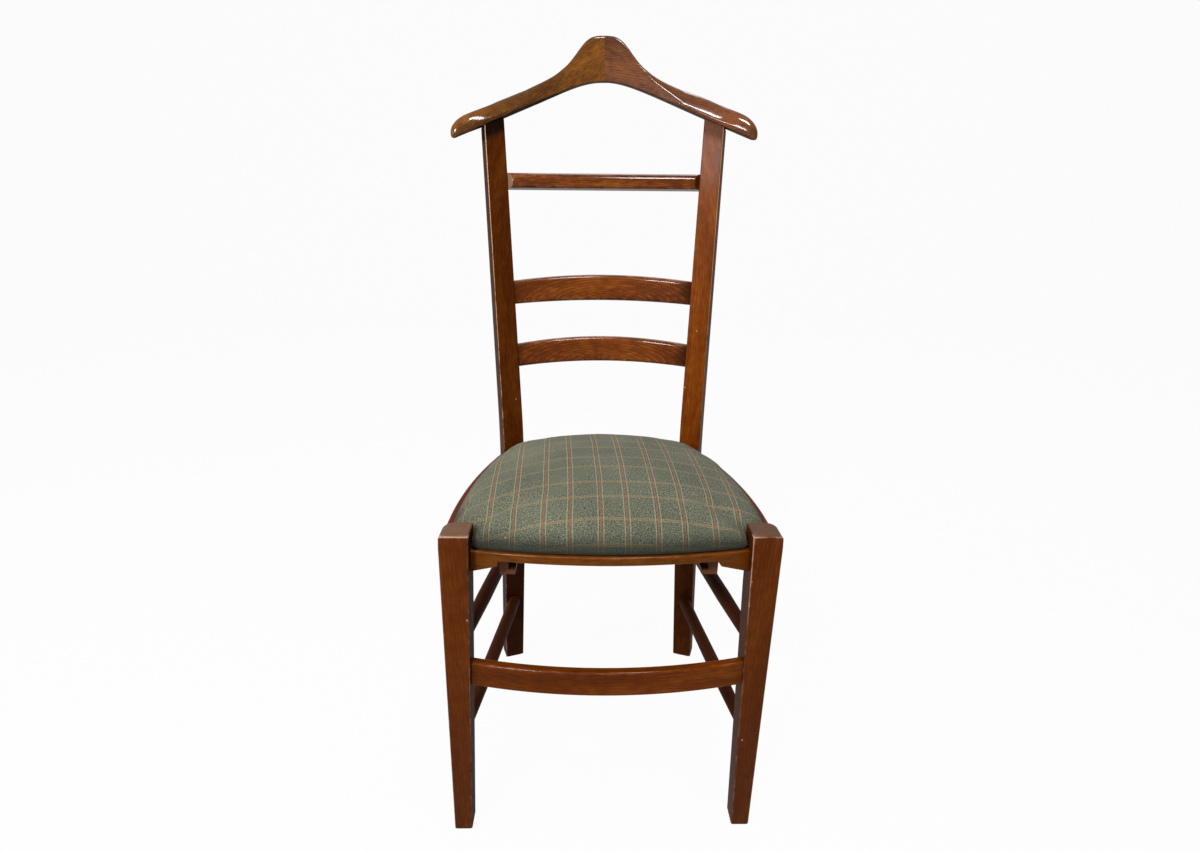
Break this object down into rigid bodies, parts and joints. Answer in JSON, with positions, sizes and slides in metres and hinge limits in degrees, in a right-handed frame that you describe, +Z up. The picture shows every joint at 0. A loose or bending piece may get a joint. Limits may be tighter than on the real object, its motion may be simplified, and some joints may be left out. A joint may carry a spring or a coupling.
{
  "type": "clothes valet chair",
  "caption": "Upholstered side chair whose rear posts carry a shaped coat-hanger top rail, a trouser bar and bowed back slats, for laying out a set of clothes.",
  "frame": {"origin": "middle of the chair's width and depth, on the floor between the feet", "axes": "+X to the right of a person facing the chair, +Y to the back, +Z up; the chair is its own mirror image across X = 0"},
  "size_m": [0.441, 0.5084, 1.0219],
  "materials": {
    "brown_beech": "semi-gloss varnish over a brown stain",
    "golden_beech": "semi-gloss varnish over a golden-brown stain",
    "dark_beech": "satin varnish over a dark brown stain",
    "olive_beech": "glossy varnish over an olive-brown stain",
    "red_beech": "glossy varnish over a reddish-brown stain",
    "runner_beech": "stained, thin matt varnish",
    "bare_dowel": "bare",
    "plywood": "bare",
    "foam": "open-cell upholstery foam",
    "checked_wool": "dark grey-green wool with a fine window check",
    "screw_steel": "zinc-plated"
  },
  "bodies": {
    "root": {"front_leg_left": "brown_beech", "front_leg_right": "brown_beech", "rear_post_left": "brown_beech", "rear_post_right": "brown_beech", "front_rail": "golden_beech", "side_rail_left": "golden_beech", "side_rail_right": "golden_beech", "rear_rail": "golden_beech", "rail_dowels": "bare_dowel", "front_stretcher": "brown_beech", "upper_side_stretcher_left": "dark_beech", "upper_side_stretcher_right": "dark_beech", "lower_side_stretcher_left": "dark_beech", "lower_side_stretcher_right": "dark_beech", "lower_slat": "brown_beech", "upper_slat": "brown_beech", "trouser_bar": "brown_beech", "hanger_left": "olive_beech", "hanger_right": "red_beech", "hanger_joint_dowels": "bare_dowel", "hanger_post_dowels": "bare_dowel", "seat_board": "plywood", "seat_foam": "foam", "seat_cover": "checked_wool", "seat_screws": "screw_steel", "runner_left": "runner_beech", "runner_right": "runner_beech", "runner_screws": "screw_steel"}
  },
  "joints": []
}
